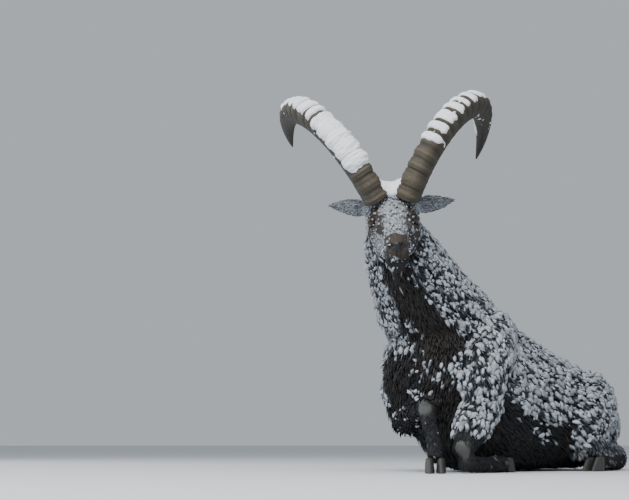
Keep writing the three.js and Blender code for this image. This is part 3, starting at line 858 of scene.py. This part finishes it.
# One region's coat. A tuft takes the nearest seed; it is longest and snowiest near that seed, and
# its tip moves towards it
def growCoat(name, c):
    mask = inGroups(group, *c["groups"]).astype(float)
    mask = mask * (1 - np.maximum(padShare, callus))
    area = (quadArea * mask[skinFaces].mean(1)).sum()
    seeds = int(area / c["clump"] ** 2)
    seedPoint, seedNormal, seedWay, seedGroup, seedDepth = scatter(seeds, mask)
    tree = KDTree(seeds)
    for k, point in enumerate(seedPoint):
        tree.insert(point, k)
    tree.balance()
    number = int(area / c["spacing"] ** 2)
    root, normal, way, groups, deep = scatter(number, mask)
    found = np.array([tree.find(p)[1:] for p in root])
    owner = found[:, 0].astype(int)
    far = np.clip(found[:, 1] / (0.62 * c["clump"]), 0, 1)
    seedSnow = snowShare(seedPoint, seedNormal, seedGroup)
    snowy = seedSnow > rng.random(seeds) * 0.9 + 0.03
    fill = smoothStep(1.0, 0.35, far) * snowy[owner] * (0.55 + 0.45 * seedSnow[owner])
    fill = np.clip(fill + 0.25 * (rng.random(number) - 0.5), 0, 1)
    length = np.maximum(c["length"] * deep, c["least"]) * (0.72 + 0.35 * rng.random(number))
    length = length * (1.08 - 0.30 * far)
    width = c["width"] * (0.75 + 0.5 * rng.random(number)) * (1 + 0.35 * fill)
    lift = np.radians(c["lift"]) * (0.8 + 0.4 * rng.random(number))
    toSeed = seedPoint[owner] - root
    toSeed -= normal * (toSeed * normal).sum(1, keepdims=True)
    jitter = rng.normal(0, 0.09, (number, 3)) * length[:, None]
    hair = hairColour(root, normal, groups) * (0.8 + 0.4 * rng.random(number))[:, None]
    # painted shade: the tuft roots darkened below the hair colour, for the shade deep in the coat
    shadedRootTone = hair * np.where(inGroups(groups, "head", "ear_"), 0.9, 0.6)[:, None]
    rime = 0.75 * smoothStep(0.25, 0.85, seedSnow[owner]) * rng.random(number)
    frosted = mixRows(hair * np.where(inGroups(groups, "head"), 1.0, 1.25)[:, None], palette["frost"], rime)
    powder = palette["snow"] * (0.55 + 0.5 * rng.random(number))[:, None]
    tipTone = mixRows(frosted, powder, smoothStep(0.15, 0.6, fill))
    shadedRootTone = mixRows(shadedRootTone, palette["frost"], 0.5 * smoothStep(0.4, 0.9, fill))
    shift = toSeed * c["pull"] + jitter
    chart = chartPlace(root, groups)
    limit = pieceTriangles // len(tuftFaces)
    for part, start in enumerate(range(0, number, limit)):
        rows = slice(start, start + limit)
        tuftMesh(name + "_" + str(part + 1), root[rows], normal[rows], way[rows], length[rows], width[rows],
                 lift[rows], shift[rows], (shadedRootTone[rows], tipTone[rows]), chart[rows])
    clumpRecords.append((seedPoint, seedNormal, seedWay, seedGroup, seedDepth, snowy, seedSnow,
                         np.full(seeds, c["clump"])))
    print(name, seeds, "clumps", number, "tufts")


for regionName, region in coatRegions.items():
    growCoat(regionName, region)

# Snow lumps: a small ball of rings, drawn out along the lie, flattened, dented at random and
# greyer towards its underside as painted shade
lumpSetup = {"length": 0.66, "width": 0.45, "height": 0.34, "dent": 0.42, "turn": 0.5, "rings": 4,
             "sides": 5, "least": 0.0108, "high": 0.8, "ahead": 0.75, "headShare": 0.28, "bodyShare": 0.92,
             "poleGap": 0.30, "spreadMean": -0.12, "spreadWidth": 0.42, "spreadRange": (-0.9, 0.45),
             "patch": 0.0014, "floorGap": 0.001}


def growLumps(s):
    point, normal, way, groups, deep, snowy, share, size = (np.concatenate(c) for c in zip(*clumpRecords))
    keep = snowy & ~inGroups(groups, "ear_", "cannon", "pastern", "shank", "beard")
    keep &= rng.random(len(keep)) < np.where(inGroups(groups, "head"), s["headShare"], s["bodyShare"])
    kept = (a[keep] for a in (point, normal, way, groups, deep, share, size))
    point, normal, way, groups, deep, share, size = kept
    number = len(point)
    turn = rng.normal(0, s["turn"], number)[:, None]
    along = way * np.cos(turn) + np.cross(normal, way) * np.sin(turn)
    across = np.cross(normal, along)
    high = np.where(inGroups(groups, "head"), s["high"] * deep, np.maximum(s["high"] * deep, s["least"]))
    centre = point + normal * high[:, None] + way * (deep * s["ahead"])[:, None]
    latitude = np.linspace(s["poleGap"], math.pi - s["poleGap"], s["rings"])
    longitude = np.arange(s["sides"]) * 2 * math.pi / s["sides"]
    lat, lon = np.meshgrid(latitude, longitude, indexing="ij")
    ball = np.stack([np.cos(lat), np.sin(lat) * np.cos(lon), np.sin(lat) * np.sin(lon)], -1).reshape(-1, 3)
    growth = np.clip(rng.normal(s["spreadMean"], s["spreadWidth"], number), *s["spreadRange"])
    spread = size * np.exp(growth) * (0.8 + 0.35 * share)
    scaled = ball[None] * (spread[:, None, None] * np.array([s["length"], s["width"], s["height"]]))
    rough = 1 + s["dent"] * 2 * (rng.random((number, len(ball))) - 0.5)
    scaled = scaled * rough[..., None]
    place = (centre[:, None] + along[:, None] * scaled[..., :1] + across[:, None] * scaled[..., 1:2]
             + normal[:, None] * scaled[..., 2:])
    place[..., 2] = np.maximum(place[..., 2], s["floorGap"])
    rings, sides = s["rings"], s["sides"]
    quads = gridFaces(rings, sides)
    triangles = np.concatenate([quads[:, [0, 1, 2]], quads[:, [0, 2, 3]]])
    cap = np.arange(1, sides - 1)
    firstEnd = np.stack([np.zeros_like(cap), cap + 1, cap], 1)
    lastEnd = (rings - 1) * sides + np.stack([np.zeros_like(cap), cap, cap + 1], 1)
    template = np.concatenate([triangles, firstEnd, lastEnd])[:, ::-1]
    tone = palette["snow"] * (0.55 + 0.70 * rng.random((number, 1)))
    # painted shade: each lump's colour darkens towards its underside, against the coat
    paintedUndersideShade = 0.55 + 0.45 * smoothStep(-0.6, 0.5, ball[:, 2])
    colours = tone[:, None] * paintedUndersideShade[None, :, None]
    chart = chartPlace(point, groups)
    uv = chart[:, None] + s["patch"] * ball[:, :2]
    limit = pieceTriangles // len(template)
    for part, start in enumerate(range(0, number, limit)):
        some = place[start:start + limit]
        faces = (template[None] + len(ball) * np.arange(len(some))[:, None, None]).reshape(-1, 3)
        piece = makeMesh("snowLumps_" + str(part + 1), some.reshape(-1, 3), faces)
        setAttribute(piece, "tuftColour", colours[start:start + limit].reshape(-1, 3))
        addBakeMap(piece, uv[start:start + limit], faces)
        piece.data.materials.append(winterCoat)
        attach(piece, "root")
    print("snow lumps", number, "of", len(template), "triangles")


growLumps(lumpSetup)

# Horns, as in the solids: an arc that curls more and more, with knobs on its front face
hornSetup = {"halfWidth": 0.034, "halfDepth": 0.0425, "knobs": 19, "lean": 5.0,
             "base": (-0.042, 0.053, 0.072), "sunk": 0.024, "steps": 560, "sides": 56, "plate": 0.0062,
             "curlGrowth": 1.15, "squareness": 2.6, "grooveWidth": 0.13, "plainTip": (0.90, 0.70),
             "backKnobs": 0.12, "grain": 0.0010, "grainSize": 0.0055,
             "left": {"length": 0.700, "splay": 23.0, "twist": 31.5, "curl": 172.0},
             "right": {"length": 0.662, "splay": 24.0, "twist": 28.0, "curl": 153.0}}
# Snow on each horn: where along it and on which faces it lies, and where it leaves the grooves bare
hornSnow = {"left": {"thick": 0.0065, "from": 0.22, "to": 0.80, "grooves": 1.0, "way": (0.05, -0.70, 0.62),
                     "grooveFrom": 0.64, "grooveTo": 0.50, "edge": 0.22, "narrowing": 0.0},
            "right": {"thick": 0.0100, "from": 0.17, "to": 0.78, "grooves": 0.9, "way": (0.42, -0.60, 0.66),
                      "grooveFrom": 0.32, "grooveTo": 0.44, "edge": 0.14, "narrowing": 0.50}}


# Number of knobs passed at each share t of the length, with a little wander
def knobsPassed(t, side):
    even = t * hornSetup["knobs"]
    return even + (0.16 * np.sin(even * 2.3) + 0.1 * np.sin(even * 5.1 + side)) * 0.6


# Depth of snow over the horn's surface, for each ring and side. It lies on faces that look the given
# way, less in noise patches and in the grooves; where there is none it stays just under the surface
def snowDepth(s, side, t, angle, place, front, across):
    facingWay = front[:, None] * np.sin(angle)[None, :, None] + across * np.cos(angle)[None, :, None]
    upness = facingWay @ unit(np.array(s["way"]))
    spot = place[:, None] + facingWay * 0.03
    patch = valueNoise(spot, 0.028, 5.0) + 0.9 * valueNoise(spot, 0.008, 1.0) - 0.95
    reach = smoothStep(s["from"] - 0.05, s["from"] + 0.02, t) * smoothStep(s["to"] + 0.12, s["to"], t)
    grooved = s["grooves"] * smoothStep(s["grooveFrom"], s["grooveTo"], t)
    inGroove = smoothStep(0.20, 0.34, np.abs(knobsPassed(t, side) % 1 - 0.5))
    edge = (s["edge"] + s["narrowing"] * smoothStep(0.32, 0.50, t))[:, None]
    amount = smoothStep(edge - 0.2, edge + 0.25, upness) + 0.8 * patch
    amount = amount * reach[:, None] - 1.05 * (grooved * inGroove)[:, None]
    lumpy = 0.62 + 0.50 * valueNoise(spot, 0.0075, 8.0) + 0.30 * valueNoise(spot, 0.0035, 2.0)
    return s["thick"] * smoothStep(0.22, 0.75, amount) * lumpy * np.sqrt(1 - 0.75 * t)[:, None] - 0.0012


# Rings of a horn: places by summed steps along the turning tangent. Each ring is a rounded box whose
# front carries plates parted by narrow grooves, 1 - exp(-(distance/width)^2) from each groove; snow,
# if given, adds its depth to the radius. Also returns each ring's share of the length and its plate
def hornRings(side, name, snow=None):
    h, turn = hornSetup, hornSetup[name]
    outward = leftWay * side
    rise = unit(browWay * math.cos(math.radians(h["lean"])) - noseWay * math.sin(math.radians(h["lean"]))
                + outward * math.tan(math.radians(turn["splay"])))
    twist = math.radians(turn["twist"])
    sweep = -noseWay * math.cos(twist) + outward * math.sin(twist)
    sweep = unit(sweep - rise * (sweep @ rise))
    across = unit(np.cross(rise, sweep))
    t = np.linspace(0, 1, h["steps"])
    bend = math.radians(turn["curl"]) * t ** h["curlGrowth"]
    tangent = np.cos(bend)[:, None] * rise + np.sin(bend)[:, None] * sweep
    stepLength = (turn["length"] + h["sunk"]) / (h["steps"] - 1)
    base = headPoint((h["base"][0], side * h["base"][1], h["base"][2])) - rise * h["sunk"]
    place = base + np.concatenate([np.zeros((1, 3)), np.cumsum(tangent[:-1], 0) * stepLength])
    front = np.cross(tangent, across)
    taper = (1 - 0.98 * t ** 4) ** 0.8
    angle = np.arange(h["sides"]) * 2 * math.pi / h["sides"]
    passed = knobsPassed(t, side)
    toGroove = np.abs(passed % 1 - 0.5)
    plate = 1 - np.exp(-((0.5 - toGroove) / h["grooveWidth"]) ** 2)
    ridge = plate * (0.55 + 0.45 * np.cos(2 * math.pi * (passed - 0.5)) ** 2)
    strength = h["plate"] * taper * smoothStep(*h["plainTip"], t)
    strength = strength * (0.8 + 0.2 * np.sin(t * h["knobs"] * 3.7))
    frontness = smoothStep(-0.25, 0.45, np.sin(angle))
    grainPlace = np.broadcast_arrays(t[:, None] * 1.1, 0.012 * np.cos(angle), 0.012 * np.sin(angle))
    grain = h["grain"] * (valueNoise(np.stack(grainPlace, -1), h["grainSize"], side * 3) - 0.5)
    swell = ((ridge - 0.4) * strength)[:, None] * (h["backKnobs"] + (1 - h["backKnobs"]) * frontness)
    swell = swell + grain * taper[:, None]
    if snow:
        swell = swell + snowDepth(snow, side, t, angle, place, front, across)
    power = h["squareness"]
    square = 1 / (np.abs(np.cos(angle)) ** power + np.abs(np.sin(angle)) ** power) ** (1 / power)
    wide = (h["halfWidth"] * 0.97 * taper)[:, None] * square + swell
    tall = (h["halfDepth"] * 0.95 * taper)[:, None] * square + swell
    rings = (place[:, None] + across * (np.cos(angle) * wide)[..., None]
             + front[:, None] * (np.sin(angle) * tall)[..., None])
    return rings, t, ridge


# Horn: olive brown, darker in the grooves and towards the tip, with fine lengthwise grain
def hornFinish():
    keratin = Finish("hornSheath", Roughness=0.6)
    tone = keratin.read("ridgeTone")
    grain = keratin.noise(70, 4.0, 0.7)
    base = keratin.node("ShaderNodeValToRGB", {"stops": [(0.15, (0.010, 0.009, 0.008, 1)),
                        (0.5, (0.046, 0.038, 0.025, 1)), (0.85, (0.105, 0.088, 0.060, 1))]},
                        {"Fac": tone * 0.7 + grain * 0.35})
    keratin.put("Base Color", base)
    keratin.put("Roughness", 0.5 + grain * 0.3)
    keratin.bump(grain + keratin.noise(260, 3.0) * 0.5, 0.8, 0.0030)
    return keratin.material


# Snow: white, faintly blue, granular
def snowFinish():
    snow = Finish("drySnow", Roughness=0.75)
    grain = snow.noise(120, 3.0)
    snow.put("Base Color", snow.mix(grain, (0.74, 0.78, 0.83, 1), (0.88, 0.90, 0.93, 1)))
    snow.bump(grain + snow.noise(500, 2.0) * 0.5, 0.6, 0.002)
    return snow.material


drySnow = snowFinish()


# The horns, darker towards their tips, and the snow on each: the horn's own rings raised by its depth
def buildHorns():
    keratin = hornFinish()
    for side, name in ((1, "left"), (-1, "right")):
        rings, t, ridge = hornRings(side, name)
        horn = tubeMesh("horn_" + name + "_sheath", rings)
        front = np.maximum(np.sin(np.arange(hornSetup["sides"]) * 2 * math.pi / hornSetup["sides"]), 0)
        tone = 0.25 + 0.55 * ridge[:, None] * (0.4 + 0.6 * front)
        tone = tone * (1 - 0.45 * smoothStep(0.45, 0.95, t))[:, None]
        setAttribute(horn, "ridgeTone", np.concatenate([tone[:1], tone, tone[-1:]]).ravel())
        horn.data.materials.append(keratin)
        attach(horn, "root")
        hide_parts("horn_" + name)
        cover = tubeMesh("horn_" + name + "_snow", hornRings(side, name, hornSnow[name])[0][12:-6])
        cover.data.materials.append(drySnow)
        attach(cover, "root")


buildHorns()
print("horns built")

# Snow lodged between the horns: a loft from one horn's root to the other, lowest in the middle
saddleSetup = {"half": 0.047, "middle": (-0.050, 0.0, 0.076), "deep": 0.030, "tall": 0.020, "rise": 0.026,
               "rows": 61, "sides": 40, "slimming": 0.25, "lumps": 0.35, "grains": 0.2}


def buildSaddle(s):
    across = np.linspace(-1, 1, s["rows"])
    angle = np.arange(s["sides"]) * 2 * math.pi / s["sides"]
    ahead = s["middle"][0] + np.cos(angle)[None] * s["deep"] * (1 - s["slimming"] * across ** 2)[:, None]
    above = s["middle"][2] + s["rise"] * (across ** 2)[:, None] + np.sin(angle)[None] * s["tall"]
    rings = headPoint(np.stack(np.broadcast_arrays(ahead, across[:, None] * s["half"], above), -1))
    middle = rings.mean(1, keepdims=True)
    dent = 1 + s["lumps"] * (valueNoise(rings, 0.018, 4.0) - 0.5)
    dent = dent + s["grains"] * (valueNoise(rings, 0.006, 2.0) - 0.5)
    saddle = tubeMesh("snowSaddle", middle + (rings - middle) * dent[..., None], flip=True)
    saddle.data.materials.append(drySnow)
    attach(saddle, "root")


buildSaddle(saddleSetup)

# Eyes: a ball with its axis outward, a slightly raised front, iris and level slot by position
irisSetup = {"radius": 0.0156, "iris": 0.0108, "slotLength": 0.0068, "slotHeight": 0.0023, "bulge": 0.0012,
             "rows": 60, "sides": 72, "rays": 14, "irisColour": (0.050, 0.030, 0.012),
             "ballColour": (0.010, 0.008, 0.007), "slotColour": (0.003, 0.003, 0.004)}


def buildEyes(s):
    glossy = Finish("eyeball", Roughness=0.25, Coat_Weight=0.5, Coat_Roughness=0.08,
                    Specular_IOR_Level=0.25)
    glossy.put("Base Color", glossy.read("irisColour", "Color"))
    for side, name in ((1, "left"), (-1, "right")):
        centre, axis, level, upright = eyeFrame(side)
        lat = np.linspace(0.01, math.pi - 0.01, s["rows"])
        lon = np.arange(s["sides"]) * 2 * math.pi / s["sides"]
        flat = np.sin(lat)[:, None, None] * np.stack([np.cos(lon), np.sin(lon)], -1)[None]
        reach = (s["radius"] + s["bulge"] * np.exp(-(lat / 0.5) ** 2))[:, None, None]
        rings = (centre + axis * (np.cos(lat)[:, None, None] * reach)
                 + level * (flat[..., :1] * reach) + upright * (flat[..., 1:] * reach))
        ball = tubeMesh("eye_" + name + "_ball", rings, flip=True)
        a, b = np.moveaxis(flat * s["radius"], -1, 0)
        inIris = (np.hypot(a, b) < s["iris"]) & (np.cos(lat) >= 0)[:, None]
        inSlot = (np.abs(a / s["slotLength"]) ** 3 + np.abs(b / s["slotHeight"]) ** 3) < 1
        ray = 0.75 + 0.25 * np.sin(s["rays"] * np.arctan2(b, a))
        iris = np.array(s["irisColour"]) * ray[..., None]
        colour = np.where(inIris[..., None], iris, s["ballColour"])
        colour = np.where((inSlot & inIris)[..., None], s["slotColour"], colour)
        setAttribute(ball, "irisColour", np.concatenate([colour[:1], colour, colour[-1:]]).reshape(-1, 3))
        ball.data.materials.append(glossy.material)
        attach(ball, "root")
        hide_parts("eye_" + name)


buildEyes(irisSetup)
print("eyes built")


# Hooves and dewclaws: each solid rounded by a fine remesh and a few smoothing steps, then worn
hoofSetup = {"voxel": 0.0026, "smoothing": 7, "pull": 0.7, "wear": 0.0012, "growthRings": 900,
             "ringDepth": 0.4, "pits": 0.006}


def buildHooves(s):
    slate = Finish("hoofHorn", Roughness=0.55)
    grain = slate.noise(60, 4.0)
    slate.put("Base Color", slate.mix(grain, (0.014, 0.014, 0.015, 1), (0.055, 0.052, 0.047, 1)))
    slate.bump(grain + slate.noise(240, 2.0) * 0.5, 0.4, 0.0015)
    for name in sorted(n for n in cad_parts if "_toe_" in n or "_dewclaw_" in n):
        points, faces, edges = remeshNodes([name], s["voxel"])
        for step in range(s["smoothing"]):
            points += (neighbourMean(points, edges) - points) * s["pull"]
        outward = vertexNormals(points, faces)
        layers = 0.5 + 0.5 * np.sin(points[:, 2] * s["growthRings"] + 4 * valueNoise(points, 0.02))
        points -= outward * (s["wear"] * (s["ringDepth"] * layers + valueNoise(points, s["pits"])))[:, None]
        points[:, 2] = np.maximum(points[:, 2], 0)
        piece = makeMesh(name + "_shell", points, faces)
        piece.data.materials.append(slate.material)
        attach(piece, "root")
        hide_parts(name)


buildHooves(hoofSetup)
print("hooves built")
